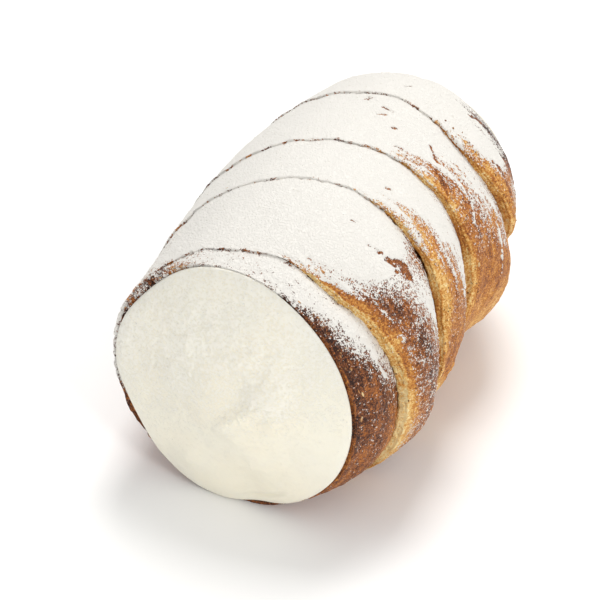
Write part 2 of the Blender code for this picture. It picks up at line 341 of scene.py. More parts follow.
def roll_point(angle, distance, radius):
    """Points at angles round the roll, distances behind the front rim and radii."""
    direction = np.radians(angle)
    behind = np.clip(distance / LENGTH, 0.0, 1.0)
    swell = read_curve(FLANK_SWELL, behind * LENGTH) * falloff(angle, FLANK_ANGLE, FLANK_SPREAD)
    radius = radius * (1 + swell)
    oval = OVAL * (1 - behind)
    x = read_curve(SIDE_SAG, behind * LENGTH) + radius * (1 - oval) * np.cos(direction)
    rise = radius * (1 + oval) * np.sin(direction)
    height = AXIS_HEIGHT + np.where(rise > 0, rise, rise * UNDERSIDE)
    pressed = np.maximum(height + FLAT_SOFTNESS, 0.0) ** 2 / (4 * FLAT_SOFTNESS)
    height = np.where(height < FLAT_SOFTNESS, pressed, height)
    lean = RIM_TILT * radius / RIM_RADIUS * (1 - behind) ** RIM_TILT_POWER
    lean = lean * np.cos(np.radians(angle - RIM_TILT_ANGLE))
    return np.stack(np.broadcast_arrays(x, distance - LENGTH / 2 + lean, height), axis=-1)


def edge_line(wound):
    """Distance and foot depth of the leading edge; before and after the strip, the two rims."""
    extra = falloff(WIND_START - wound, STEP_EXTRA_ANGLE, STEP_EXTRA_SPREAD)
    full = STEP_HEIGHT + STEP_EXTRA * extra
    growth = np.clip(np.minimum(wound, LAST_WOUND - wound) / STEP_GROWTH, 0.0, 1.0)
    return read_curve(EDGE_PATH, wound), RIM_ROUNDING + (full - RIM_ROUNDING) * growth


def cad_shift():
    """How far part.py moved the finished roll, found by making its coarse outside again."""
    wound = 360.0 * np.arange(CAD_COLUMNS * (TURNS + 1) + 1) / CAD_COLUMNS - 360.0
    start, step = edge_line(wound)
    end, next_step = edge_line(wound + 360.0)
    rows = []
    for share, depth_share in TURN_PROFILE:
        distance = mix(start, end, share)
        depth = (step if share < PROFILE_CROWN else next_step) * depth_share
        rows.append(roll_point(WIND_START - wound, distance,
                               read_curve(BODY_RADII, distance) - depth))
    points = np.concatenate(rows)
    low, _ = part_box("pastry")
    return np.array(low) / MM - points.min(axis=0)


SHIFT = cad_shift()


def bore_radius(distance):
    """Radius of the bore, flared at both rims."""
    inwards = np.minimum(distance, LENGTH - distance) / FLARE_DEPTH
    front = read_curve(BODY_RADII, 0.0)
    rim = np.where(distance < LENGTH / 2, front, read_curve(BODY_RADII, LENGTH)) - RIM_WALL
    flare = np.maximum(0.0, 1.0 - inwards) ** 2
    return BORE_RADIUS + (rim - RIM_ROUNDING - BORE_RADIUS) * flare


# ---------------------------------------------------------------- meshes and nodes
def srgb(red, green, blue):
    """Linear colour from the 0 to 255 values of a colour chip."""
    chip = np.array((red, green, blue)) / 255
    linear = np.where(chip <= 0.04045, chip / 12.92, ((chip + 0.055) / 1.055) ** 2.4)
    return (*linear, 1.0)


def unit(vectors):
    """The same directions, with a length of 1."""
    return vectors / np.maximum(np.linalg.norm(vectors, axis=-1, keepdims=True), 1e-9)


def outward_normals(points):
    """Unit normals of a grid of points; rows go back along the roll, columns round it."""
    return unit(np.cross(np.gradient(points, axis=1), np.gradient(points, axis=0)))


def add_object(name, data):
    """Put a mesh, lamp or camera in the scene."""
    item = bpy.data.objects.new(name, data)
    bpy.context.scene.collection.objects.link(item)
    return item


def make_mesh(name, points, faces, material, smooth=True):
    """Mesh object from points in millimetres and faces, a list of arrays with a row for each."""
    mesh = bpy.data.meshes.new(name)
    corners = np.concatenate([group.ravel() for group in faces]).astype(np.int32)
    sizes = np.concatenate([np.full(len(group), group.shape[1]) for group in faces])
    starts = np.concatenate(((0,), np.cumsum(sizes)[:-1]))
    mesh.vertices.add(len(points))
    mesh.vertices.foreach_set("co", (np.asarray(points) * MM).astype(np.float32).ravel())
    mesh.loops.add(len(corners))
    mesh.loops.foreach_set("vertex_index", corners)
    mesh.polygons.add(len(sizes))
    mesh.polygons.foreach_set("loop_start", starts.astype(np.int32))
    mesh.update(calc_edges=True)
    mesh.validate()
    if smooth:
        mesh.shade_smooth()
    mesh.materials.append(material)
    return add_object(name, mesh)


def add_values(piece, name, values):
    """Keep one number for each vertex, for the material to read."""
    layer = piece.data.attributes.new(name, "FLOAT", "POINT")
    layer.data.foreach_set("value", np.asarray(values, dtype=np.float32).ravel())


def add_bake_map(piece, places):
    """Lay the piece out flat on a UV map, OFBake, with (u, v) for each corner of each face in turn.
    """
    places = np.concatenate([group.reshape(-1, 2) for group in places])
    layer = piece.data.uv_layers.new(name="OFBake")
    layer.data.foreach_set("uv", places.astype(np.float32).ravel())


COLOUR_A, COLOUR_B, COLOUR_RESULT = 6, 7, 2  # the colour sockets of a Mix node


class Nodes:
    """Short ways to write down a material's nodes."""

    def __init__(self, name):
        self.material = bpy.data.materials.new(name)
        self.material.use_nodes = True
        self.tree = self.material.node_tree
        self.shader = self.tree.nodes["Principled BSDF"]

    def put(self, socket, value):
        """Link a node's output to a socket, or set the socket's own value."""
        if isinstance(value, bpy.types.NodeSocket):
            self.tree.links.new(value, socket)
        else:
            socket.default_value = value

    def add(self, kind, inputs, output=0, **settings):
        """A new node's output; its sockets are given by name or by number."""
        node = self.tree.nodes.new("ShaderNode" + kind)
        for name, value in settings.items():
            setattr(node, name, value)
        for socket, value in inputs.items():
            self.put(node.inputs[socket], value)
        return node.outputs[output]

    def value(self, name):
        """A number kept on the vertices."""
        return self.add("Attribute", {}, "Fac", attribute_name=name)

    def texture(self, kind, size, output, **inputs):
        """A texture laid on the object, of about this size in millimetres."""
        place = self.add("TexCoord", {}, "Object")
        return self.add(kind, {"Vector": place, "Scale": 1 / (size * MM), **inputs}, output)

    def noise(self, size, detail=2.0, roughness=0.5):
        """Noise from 0 to 1 with bumps about one size across."""
        return self.texture("TexNoise", size, "Fac", Detail=detail, Roughness=roughness)

    def cells(self, size):
        """A random number from 0 to 1 for each grain of about this size."""
        return self.add("SeparateColor", {"Color": self.texture("TexVoronoi", size, "Color")})

    def sum(self, first, factor, plus=0.0):
        """first * factor + plus."""
        return self.add("Math", dict(enumerate((first, factor, plus))), operation="MULTIPLY_ADD")

    def ramp(self, value, low, high, start=0.0, end=1.0):
        """A smooth ramp from start to end while value goes from low to high."""
        return self.add("MapRange", dict(enumerate((value, low, high, start, end))),
                        interpolation_type="SMOOTHSTEP")

    def colours(self, value, stops):
        """The colour at a value, between (place, colour) stops."""
        node = self.tree.nodes.new("ShaderNodeValToRGB")
        self.put(node.inputs["Fac"], value)
        elements = node.color_ramp.elements
        while len(elements) < len(stops):
            elements.new(0.5)
        for element, (place, colour) in zip(elements, stops):
            element.position = place
            element.color = colour
        return node.outputs["Color"]

    def blend(self, share, first, second):
        """First colour where share is 0, second where it is 1."""
        return self.add("Mix", {"Factor": share, COLOUR_A: first, COLOUR_B: second},
                        COLOUR_RESULT, data_type="RGBA")

    def bump(self, height, depth, below=None):
        """Normals of a relief whose height goes from 0 to 1 over a depth in millimetres."""
        inputs = {"Distance": depth * MM, "Height": height}
        if below is not None:
            inputs["Normal"] = below
        return self.add("Bump", inputs, "Normal")

    def finish(self, **values):
        """Set or link the shader's inputs, named with _ for a space, and give the material."""
        for name, value in values.items():
            self.put(self.shader.inputs[name.replace("_", " ")], value)
        return self.material


# ---------------------------------------------------------------- the wound strip
def ragged_edge(wound):
    """The leading edge as it really runs: edge_line with a crumbly waver."""
    distance, step = edge_line(wound)
    growth = np.clip(np.minimum(wound, LAST_WOUND - wound) / WAVER_GROWTH, 0.0, 1.0)
    waver = sum(line_noise(wound, *kind) for kind in WAVERS)
    on_top = around(WIND_START - wound, *TOP)
    filled = np.array(STEP_ON_TOP)[np.clip(wound // 360, 0, TURNS).astype(int)]
    filled = filled * (1 + line_noise(wound, *STEP_WAVER))
    distance = distance + read_curve(FOOT_SHIFT, wound) + waver * growth
    return distance, step * mix(1.0, filled, on_top)


def strip_rows(wound):
    """The strip's rows of vertices, with a column for each wound.

    Gives the distance, depth, lip share and hidden share of all rows, and the turn's two edges.
    The lip share is 1 at the foot of the cut front edge and 0 on the crown.
    """
    start, step = ragged_edge(wound)
    end, next_step = ragged_edge(wound + 360.0)
    width = np.maximum(end - start, LEAST_WIDTH)
    front_rim = 1 - ease(wound / RIM_FADE)
    back_rim = ease((wound + 360 - LAST_WOUND) / RIM_FADE + BACK_RIM_START)
    reach = np.minimum(LIP_REACH + LIP_REACH_PER_STEP * step, LIP_WIDEST * width)
    rows = []

    def belly(distance):
        share = (distance - start) / width
        return next_step * np.clip((share - BELLY_START) / (1 - BELLY_START), 0, 1) ** BELLY_POWER

    def add_row(distance, depth, lip, hidden):
        rows.append([np.broadcast_to(item, wound.shape) for item in (distance, depth, lip, hidden)])

    for on_turn, at_rim in reversed(list(zip(TUCK_ON_TURN, TUCK_AT_RIM))):
        add_row(np.minimum(start + mix(on_turn[0], at_rim[0], front_rim), TUCK_END),
                step + mix(on_turn[1], at_rim[1], front_rim), 1.0, 1 - front_rim)
    for row in range(LIP_ROWS):
        turn = math.pi / 2 * row / LIP_ROWS
        height = math.sin(turn) ** (2 / LIP_POWER)
        distance = start + reach * (1 - math.cos(turn) ** (2 / LIP_POWER))
        add_row(distance, step * (1 - height) + belly(distance), 1 - height, 0.0)
    for row in range(CROWN_ROWS + 1):
        distance = mix(start + reach, start + width, row / CROWN_ROWS)
        add_row(distance, belly(distance), 0.0, 0.0)
    for on_turn, at_rim in zip(TUCK_ON_TURN, TUCK_AT_RIM):
        behind = np.minimum(start + width + on_turn[0], TUCK_END)
        add_row(mix(behind, start + width - at_rim[0], back_rim),
                next_step + mix(on_turn[1] + TUCK_CLEARANCE, at_rim[1], back_rim), 0.0, 1.0)
    return np.array(rows).transpose(1, 0, 2), start, start + width


def angle_of(wound):
    """The angle round the roll, from -90 to 270, of places along the strip."""
    return (WIND_START - wound + 90) % 360 - 90


def strip_columns(first, last):
    """Degrees wound of the columns between two cuts, closer together where they are seen."""
    wound = [first]
    while wound[-1] < last - SEEN_STEP / 2:
        seen = SEEN_ANGLES[0] < angle_of(wound[-1]) < SEEN_ANGLES[1]
        wound.append(wound[-1] + (SEEN_STEP if seen else UNDER_STEP))
    wound[-1] = last
    return np.array(wound)


def bare_skin(first, last):
    """The smooth strip between two cuts, with what its looks are worked out from."""
    wound = strip_columns(first, last)
    (distance, depth, lip, hidden), start, end = strip_rows(wound)
    angle, wound, start, end = (np.broadcast_to(item, distance.shape)
                                for item in (angle_of(wound), wound, start, end))
    swell = read_curve(SWELL_SHIFT, distance) * falloff(angle, FLANK_ANGLE, FLANK_SPREAD)
    radius = (read_curve(BODY_RADII, distance) - depth) * (1 + swell)
    points = roll_point(angle, distance, radius) + SHIFT
    return SimpleNamespace(points=points, angle=angle, wound=wound, distance=distance, lip=lip,
                           hidden=hidden, across=distance - start, to_next=end - distance,
                           seam=np.minimum(distance - start, end - distance),
                           turn=np.clip(wound // 360 + 1, 0, TURNS).astype(int))


def by_turn(skin, curves, place):
    """Read a curve that each turn has of its own."""
    value = np.zeros(place.shape)
    for turn, knots in enumerate(curves):
        here = skin.turn == turn
        value[here] = read_curve(knots, place[here])
    return value


def along_strip(skin, size, seed):
    """Noise from 0 to 1 in streaks that follow the strip."""
    arc = skin.wound * MM_PER_DEGREE / STREAK_STRETCH
    return rough(np.stack((arc, skin.across, skin.turn * 40.0), axis=-1), size, seed)


def mark(skin, turn, knots):
    """How far each vertex lies within a line drawn on one turn, from 0 outside it to 1."""
    angles, places, widths = zip(*knots)
    middle = read_curve(tuple(zip(angles, places)), skin.angle)
    width = read_curve(tuple(zip(angles, widths)), skin.angle) * (0.45 + 1.1 * skin.dots)
    inside = ease((width - np.abs(skin.distance - middle)) / MARK_SOFTNESS)
    drawn = (skin.turn == turn) & (angles[0] < skin.angle) & (skin.angle < angles[-1])
    return np.where(drawn, inside, 0.0)


def crack(skin, first, last, width):
    """How far each vertex lies within a short straight crack, from 0 outside it to 1."""
    across = (skin.angle - first[0]) * MM_PER_DEGREE
    along = skin.distance - first[1]
    run_across, run_along = (last[0] - first[0]) * MM_PER_DEGREE, last[1] - first[1]
    share = (across * run_across + along * run_along) / (run_across ** 2 + run_along ** 2)
    share = np.clip(share, 0, 1)
    away = np.hypot(across - share * run_across, along - share * run_along)
    return ease((width * (0.6 + 0.8 * skin.dots) - away) / 0.3 + 0.5)


def threads(skin):
    """Fine flaky layers along the next turn's edge on the right flank, from 0 to 1."""
    waver = 1.6 * rough(skin.points, 5.0, 17)
    lines = 0.5 + 0.5 * np.sin(2 * np.pi * (skin.to_next / THREAD_GAP + waver))
    near = ease(skin.to_next / 0.3) * (1 - ease((skin.to_next - 1.5) / 3.5))
    low = 1 - ease((skin.angle - 42) / 22)
    return lines * near * low * np.array(THREADS)[skin.turn]


def sugar_cover(skin, mottle, speckle, streak, rightness):
    """How much sugar lies on each vertex, before marks and seams."""
    ends = by_turn(skin, SUGAR_ENDS, skin.across)
    on_right = (skin.angle - ends) / (2 * SUGAR_FADE) + 0.5 + 0.22 * mottle + 0.24 * speckle
    on_right = on_right + streak * np.array(STREAKS)[skin.turn] * rightness
    on_left = (SUGAR_LEFT_END - skin.angle) / (2 * SUGAR_LEFT_FADE) + 0.5 + 0.6 * mottle
    strewn = np.array(FLANK_DUST)[skin.turn] * (0.4 + 0.8 * skin.dots) * rightness
    strewn = strewn * ease((skin.angle - np.array(CLEAN_BELOW)[skin.turn]) / 24 + 0.5)
    cover = np.clip(on_right, strewn, 1) * np.clip(on_left, 0, 1) * (1 - skin.threads)
    return cover * np.array(SUGAR_SHARE)[skin.turn]


def edge_cover(skin):
    """The share of sugar that stays along the turns' edges and feet."""
    bare = by_turn(skin, EDGE_BARE, skin.angle)
    bridged = ease((skin.dots - bare) / 0.12 + 0.5)
    near_foot = ease((skin.lip - by_turn(skin, CUT_BARE, skin.angle)) / 0.14)
    broken = ease((rough(skin.points, 0.7, 18) - 0.42) / 0.2)
    line = broken * ease(1 - skin.seam / (0.05 + 0.5 * skin.dots))
    near_foot = np.maximum(near_foot, line * (skin.angle > 55) * (skin.turn > 0))
    near_seam = 1 - ease(skin.seam / 1.3)
    dotted = 0.42 * near_seam * ease((skin.dots - 0.45) / 0.3)
    return mix(1.0, bridged, near_foot) * (1 - dotted)


def add_looks(skin):
    """Work out how much sugar lies on each vertex, how dark it is baked, and its painted shade."""
    points = skin.points
    mottle = rough(points, MOTTLE_SIZE, 11) - 0.5
    speckle = rough(points, SPECKLE_SIZE, 12) - 0.5
    skin.dots = rough(points, DOT_SIZE, 13)
    skin.streak = along_strip(skin, STREAK_SIZE, 15) - 0.5
    skin.threads = threads(skin)
    rightness = around(skin.angle, *RIGHT_FLANK)
    cover = sugar_cover(skin, mottle, speckle, skin.streak, rightness) * edge_cover(skin)
    bare = sum(mark(skin, turn, knots) for turn, knots in BARE_MARKS)
    bare = bare + sum(crack(skin, *ends_and_width) for ends_and_width in CRACKS)
    start, end, reach = LEFT_PATCH
    patch = ease((skin.angle - start) / 9) * ease((end - skin.angle) / 9)
    patch = patch * ease((reach + 2 * mottle - skin.distance) / 1.6)
    cover = cover * (1 - np.clip(bare * (0.55 + 0.7 * skin.dots), 0, 0.94)) * (1 - 0.30 * patch)
    white = np.clip(sum(mark(skin, turn, knots) for turn, knots in SUGAR_MARKS), 0, 1)
    skin.sugar = np.maximum(cover, white * (0.55 + 0.5 * skin.dots)) * (1 - skin.hidden)

    flank = by_turn(skin, BAKE, skin.across)
    flank = flank - LOW_FLANK_PALER * ease((5 - skin.angle) / 30) + 0.16 * skin.streak
    bake = mix(OTHER_BAKE, flank, rightness) + 0.12 * mottle + 0.10 * speckle
    bake = mix(bake, 0.52, 0.7 * skin.threads)
    bake = mix(mix(bake, BARE_BAKE, np.clip(bare, 0, 1)), PATCH_BAKE, patch)
    on_cut = ease((skin.lip - CUT_SHARE) / 0.12)
    cut = mix(np.array(LIP_BAKE)[skin.turn], np.array(CUT_BAKE)[skin.turn], on_cut)
    seen_cut = (1 - ease((skin.angle - 62) / 24)) * ease((250 - skin.angle) / 30)
    cut = mix(mix(TOP_EDGE_BAKE, cut, seen_cut), PATCH_BAKE, patch)
    skin.layers = np.sin(2 * np.pi * (skin.lip * 4.0 + 1.0 * rough(points, 6.0, 16)))
    skin.pits = ease((rough(points, 1.3, 14) - 0.66) / 0.2) * np.array(CUT_PITS)[skin.turn]
    # The pits are painted darker here: painted shade in them.
    cut = cut + 0.11 * skin.layers + 0.4 * skin.pits + 0.40 * mottle + 0.10 * speckle
    skin.cut = ease((skin.lip - 0.05) / 0.3) * (1 - skin.hidden)
    # The gap where the third turn's edge stands off: sunk, bare of sugar, and painted nearly black
    # as painted shade.
    behind = (skin.turn == GAP_TURN - 1) * (1 - ease(skin.to_next / 0.42))
    under = (skin.turn == GAP_TURN) * ease((skin.lip - 0.82) / 0.12)
    skin.gap = (behind + under) * read_curve(GAP, skin.angle) * (np.abs(skin.angle - 28) < 19)
    skin.gap = ease(skin.gap * (0.3 + 1.2 * skin.dots))
    skin.bake = np.clip(mix(mix(bake, cut, skin.cut), 1.0, skin.gap), 0, 1)
    skin.sugar = skin.sugar * (1 - skin.gap)


def add_relief(skin):
    """Raise the sugar and the baked dough's blisters off the smooth strip."""
    points = skin.points
    blisters = bumps(points, *BLISTERS) + bumps(points, *SMALL_BLISTERS)
    waves = bumps(points, *WAVES)
    powder = bumps(points, *POWDER) * skin.sugar
    ledge = LEDGE_DEPTH * ease((0.55 - skin.lip) / 0.15) * ease(skin.lip / 0.2)
    raised = SUGAR_DEPTH * ease(skin.sugar) + powder + waves + blisters * (1 - 0.8 * skin.sugar)
    raised = raised + skin.cut * (LAYER_DEPTH * skin.layers - PIT_DEPTH * skin.pits + ledge)
    raised = raised + STREAK_DEPTH * skin.streak * (1 - 0.7 * skin.sugar)
    raised = (raised - GAP_DEPTH * skin.gap - THREAD_DEPTH * skin.threads) * (1 - skin.hidden)
    skin.points = points + outward_normals(points) * raised[..., None]
    skin.points[..., 2] = np.maximum(skin.points[..., 2], 0.0)


def strip_faces(rows, columns):
    """Quads of a tube with closed rows, and a face at both of its ends."""
    grid = np.arange(rows * columns).reshape(rows, columns)
    after = np.roll(grid, -1, axis=0)
    quads = np.stack((grid[:, :-1], grid[:, 1:], after[:, 1:], after[:, :-1]), axis=-1)
    ends = np.stack((grid[:, 0], grid[::-1, -1]))
    return [quads.reshape(-1, 4), ends]


MAP_LENGTHS = 3  # the strip lies on the bake map in this many lengths, one over another
MAP_MARGIN = 0.008
MAP_HIDDEN = 0.04  # how much of its room a hidden row gets


def strip_map(points, hidden):
    """The (u, v) places of the corners of strip_faces, for each row of quads and both ends."""
    rows, quads = points.shape[0], points.shape[1] - 1
    room = np.linalg.norm(np.roll(points, -1, axis=0) - points, axis=-1).mean(axis=1)
    room = room * mix(1.0, MAP_HIDDEN, np.maximum(hidden, np.roll(hidden, -1, axis=0)).mean(axis=1))
    high = np.concatenate(((0.0,), np.cumsum(room) / room.sum()))
    length = np.arange(quads) * MAP_LENGTHS // quads
    behind = np.arange(quads) - np.searchsorted(length, length)
    left, right = (side / np.bincount(length)[length] for side in (behind, behind + 1))
    across = np.broadcast_to(np.stack((left, right, right, left), axis=-1), (rows, quads, 4))
    up = np.stack((high[:-1], high[:-1], high[1:], high[1:]), axis=-1)[:, None]
    margin = MAP_LENGTHS * MAP_MARGIN
    up = (length[None, :, None] + mix(margin, 1 - margin, up)) / MAP_LENGTHS
    turn = 2 * np.pi * np.arange(rows) / rows
    ring = np.stack((np.cos(turn), np.sin(turn)), axis=-1) * 0.3 * MAP_MARGIN
    ends = ring + np.array(((0.4 * MAP_MARGIN, 0.2), (0.4 * MAP_MARGIN, 0.7)))[:, None]
    return [np.stack((mix(MAP_MARGIN, 1 - MAP_MARGIN, across), up), axis=-1), ends]


def make_strip(number, first, last, material):
    """One stretch of the wound strip as a closed piece."""
    skin = bare_skin(first, last)
    add_looks(skin)
    add_relief(skin)
    rows, columns = skin.angle.shape
    piece = make_mesh(f"dough_strip_{number}", skin.points.reshape(-1, 3),
                      strip_faces(rows, columns), material)
    add_values(piece, "sugar", skin.sugar)
    # How dark the crust is baked, with the painted shade of gaps and pits added in.
    add_values(piece, "bake", skin.bake)
    add_bake_map(piece, strip_map(skin.points, skin.hidden))
    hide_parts("pastry")
    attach(piece, "root")
    return skin


# ---------------------------------------------------------------- the foam filling
FOAM_LOWEST = 0.1  # height over the floor, in mm
FOAM_COLUMNS = 380
FOAM_ROWS = 150
BACK_ROWS = 60
# The front end's outline strays from the plain oval: outwards in mm, by angle.
FOAM_EDGE = ((0, 0), (25, 0), (55, 0.2), (80, 1), (105, 1.2), (140, 0.6), (165, 0.8), (185, 0.2),
             (198, -0.8), (212, -1.1), (232, -0.1), (250, 0.8), (268, 0.6), (284, -0.5), (296, 0.2),
             (325, 0.3), (345, 0), (360, 0))
# Swellings and hollows on the front end: place across and up as a share of its radius, spread,
# and height in mm.
FOAM_HILLS = ((0.12, -0.06, 0.42, 1), (0.31, -0.05, 0.085, -0.55), (0.1, -0.24, 0.07, 0.3),
              (0.14, 0.2, 0.15, -0.8), (0.42, 0.24, 0.15, 0.8), (-0.62, -0.3, 0.3, -1.3),
              (-0.8, 0.12, 0.34, -1.7), (0.2, -0.74, 0.16, -0.8), (-0.3, -0.62, 0.14, 0.75),
              (-0.84, 0.44, 0.12, 0.4), (0.62, -0.1, 0.3, 0.5), (-0.35, 0.3, 0.3, 0.35))
# A soft ridge where it was drawn off to a peak, as places across and up.
FOAM_RIDGE = ((-0.06, -0.19), (0.05, -0.13), (0.14, -0.03), (0.26, 0.05), (0.4, 0.1))
RIDGE_WIDTH = 0.065
RIDGE_HEIGHT = 0.80
# Height and size in mm of the waves on both ends, and of the specks under fine sugar.
FOAM_WAVES = (0.7, 9.0)
FOAM_RIPPLES = (0.16, 2.4)
FOAM_DUST = (0.16, 0.8)
# A crease low on the front end, where it has folded over: angle from and to, share of radius.
FOAM_CREASE = (272, 306, 0.955, 0.86)
CREASE_DEPTH = 1.1
CREASE_WIDTH = 0.024


def end_places(rows):
    """The angles and shares of the radius of an end's vertices, and their places across and up."""
    angle = (WIND_START - 360.0 * np.arange(FOAM_COLUMNS) / FOAM_COLUMNS) % 360
    share = np.sin(np.pi / 2 * np.arange(1, rows + 1) / rows)[:, None]
    angle, share = np.broadcast_arrays(angle, share)
    return angle, share, share * np.cos(np.radians(angle)), share * np.sin(np.radians(angle))


def foam_inset(angle):
    """How far the foam's edge stays inside the outer edge of the rim."""
    return FOAM_INSET + BARE_RIM * falloff(angle, BARE_RIM_ANGLE, BARE_RIM_SPREAD)


def dusting(across, up):
    """How much fine sugar has fallen on an end: most on its upper left, none low on the right."""
    bright = np.exp(-((across - 0.42) ** 2 + (up - 0.2) ** 2) / 0.03)
    return np.clip(ease((up - 0.35 * across + 0.5) / 1.1) + bright, 0, 1)


def foam_relief(share, across, up, seed):
    """Height in mm of the fine waves on a domed end."""
    flat = np.stack((across, up, np.zeros_like(up)), axis=-1) * RIM_RADIUS
    relief = bumps(flat, *FOAM_WAVES, seed) + bumps(flat, *FOAM_RIPPLES, seed + 1)
    relief = relief + dusting(across, up) * bumps(flat, *FOAM_DUST, seed + 2)
    return relief * np.clip(share * 4, 0, 1)


def front_relief(angle, share, across, up):
    """The front end's own forms, on top of the fine waves."""
    relief = foam_relief(share, across, up, 41)
    for right, above, spread, height in FOAM_HILLS:
        offset = ((across - right) ** 2 + (up - above) ** 2) / spread ** 2
        relief = relief + height * np.exp(-offset)
    ridge_across, ridge_up = np.array(FOAM_RIDGE).T
    along = (across - ridge_across[0]) / (ridge_across[-1] - ridge_across[0])
    aside = (up - np.interp(across, ridge_across, ridge_up)) / RIDGE_WIDTH
    drawn = np.sin(np.pi * np.clip(along, 0, 1)) * np.exp(-aside * aside)
    lumps = rough(np.stack((across, up, 0 * up), axis=-1) * RIM_RADIUS, 2.0, 44)
    relief = relief + RIDGE_HEIGHT * drawn * (0.4 + lumps)
    start, end, outer, inner = FOAM_CREASE
    run = (angle - start) / (end - start)
    line = mix(outer, inner, np.clip(run, 0, 1))
    depth = np.sin(np.pi * np.clip(run, 0, 1)) * np.exp(-((share - line) / CREASE_WIDTH) ** 2)
    return relief - CREASE_DEPTH * depth


def foam_loops(rim, outwards, dome, rows):
    """Loops of points of one domed end, from its top out to the edge behind the rim."""
    angle, share, across, up = end_places(rows)
    middle = (SHOULDER_LOW + SHOULDER_HIGH) / 2
    swell = (1 + np.cos(np.radians(angle - SHOULDER_ANGLE))) / 2
    shoulder = mix(SHOULDER_LOW, SHOULDER_HIGH, swell)
    rounding = np.maximum(0.0, 1 - share ** SHOULDER_POWER) ** (1 / SHOULDER_POWER)
    height = mix(middle, shoulder, share ** 2) * rounding + dome * (1 - share ** 2) + FIT_GAP
    edge = read_curve(BODY_RADII, rim) - foam_inset(angle)
    if outwards < 0:
        height = height + front_relief(angle, share, across, up) * rounding
        edge = edge + read_curve(FOAM_EDGE, angle)
    else:
        height = height + foam_relief(share, across, up, 51) * rounding
    points = roll_point(angle, rim + outwards * height, edge * share)
    inner = roll_point(angle[0], rim + outwards * FIT_GAP, bore_radius(rim) - FIT_GAP)
    return np.concatenate((points, inner[None])) + SHIFT


# Where the filling's ends lie on the bake map, as middle and radius, and its core's low strip.
FRONT_PLACE = (0.36, 0.62, 0.34)
BACK_PLACE = (0.85, 0.84, 0.13)
CORE_PLACE = (0.02, 0.98, 0.02, 0.22)


def foam_map(grid):
    """The (u, v) places of the corners of the filling's faces."""
    rows, columns = grid.shape[:2]
    gaps = np.linalg.norm(np.diff(grid, axis=0), axis=-1).mean(axis=1)
    turn = 2 * np.pi * np.arange(columns + 1) / columns
    circle = np.stack((np.cos(turn), np.sin(turn)), axis=-1)

    def disc(place, gaps_outwards):
        out = np.concatenate(((gaps_outwards[0],), gaps_outwards)).cumsum()
        return np.array(place[:2]) + (place[2] * out / out[-1])[:, None, None] * circle

    def corners(loops):
        return np.stack((loops[:-1, :-1], loops[:-1, 1:], loops[1:, 1:], loops[1:, :-1]), axis=2)

    front = disc(FRONT_PLACE, gaps[:FOAM_ROWS])
    back = disc(BACK_PLACE, gaps[::-1][:BACK_ROWS])[::-1]
    left, right, low, high = CORE_PLACE
    core = np.stack(np.meshgrid(np.linspace(left, right, columns + 1),
                                np.linspace(low, high, rows - FOAM_ROWS - BACK_ROWS)), axis=-1)
    return [corners(front), corners(core), corners(back), front[0, :-1][::-1], back[-1, :-1]]


def make_foam(material):
    """The filling, one closed piece through the whole bore; returns its front end's points."""
    front = foam_loops(0.0, -1, FRONT_DOME, FOAM_ROWS)
    back = foam_loops(LENGTH, 1, BACK_DOME, BACK_ROWS)
    angle, _, across, up = end_places(FOAM_ROWS)
    core = [roll_point(angle[0], distance, bore_radius(distance) - FIT_GAP) + SHIFT
            for distance in (FLARE_DEPTH / 2, FLARE_DEPTH, LENGTH - FLARE_DEPTH,
                             LENGTH - FLARE_DEPTH / 2)]
    grid = np.concatenate((front, core, back[::-1]))
    grid[..., 2] = np.maximum(grid[..., 2], FOAM_LOWEST)
    rows, columns = grid.shape[:2]
    index = np.arange(rows * columns).reshape(rows, columns)
    after = np.roll(index, -1, axis=1)
    quads = np.stack((index[:-1], after[:-1], after[1:], index[1:]), axis=-1).reshape(-1, 4)
    ends = np.stack((index[0][::-1], index[-1]))
    piece = make_mesh("foam_filling", grid.reshape(-1, 3), [quads, ends], material)
    dust = np.zeros((rows, columns))
    dust[:FOAM_ROWS] = dusting(across, up)
    add_values(piece, "dust", dust)
    add_bake_map(piece, foam_map(grid))
    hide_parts("foam")
    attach(piece, "root")
    return front[:FOAM_ROWS]


# ---------------------------------------------------------------- loose sugar, crumbs and flakes
GRAINS = 9200
GRAIN_SIZE = (0.12, 0.30)  # across, in mm
FOAM_GRAINS = 500
CRUMBS = 260
CRUMB_SIZE = (0.25, 0.6)
FLAKES = 60
FLAKE_SIZE = (0.6, 1.6)
LUMPINESS = 0.22  # how much a lump's corners stray, as a share of its radius
LUMP_RISE = 0.3  # share of its thickness from the surface up to its middle
LUMP_LOWEST = 0.05
RANDOM_SEED = 7
GOLDEN = (1 + 5 ** 0.5) / 2


def ball():
    """The 12 corners and 20 faces of an icosahedron of radius 1."""
    corners = []
    for first, second in itertools.product((-1, 1), (-GOLDEN, GOLDEN)):
        corners += [(0, first, second), (first, second, 0), (second, 0, first)]
    corners = np.array(corners) / math.hypot(1, GOLDEN)
    edge = 2 / math.hypot(1, GOLDEN)
    near = np.linalg.norm(corners[:, None] - corners[None], axis=-1) < edge * 1.01
    faces = []
    for a, b, c in itertools.combinations(range(12), 3):
        if near[a, b] and near[b, c] and near[a, c]:
            turned = np.dot(np.cross(corners[b] - corners[a], corners[c] - corners[a]), corners[a])
            faces.append((a, b, c) if turned > 0 else (a, c, b))
    return corners, np.array(faces)


def pick_places(points, weight, count, rng):
    """Random places on a grid of points, more of them where the weight is high."""
    first, after = points[:-1, :-1], points[1:, :-1]
    beside, across = points[:-1, 1:], points[1:, 1:]
    area = np.linalg.norm(np.cross(after - first, beside - first), axis=-1)
    chance = (area * weight[:-1, :-1]).ravel()
    chosen = rng.choice(chance.size, count, p=chance / chance.sum())
    row, column = np.unravel_index(chosen, area.shape)
    down, right = rng.random((2, count, 1))
    place = mix(mix(first[row, column], after[row, column], down),
                mix(beside[row, column], across[row, column], down), right)
    normal = outward_normals(points)[row, column]
    along = beside[row, column] - first[row, column]
    return place, normal, unit(along)


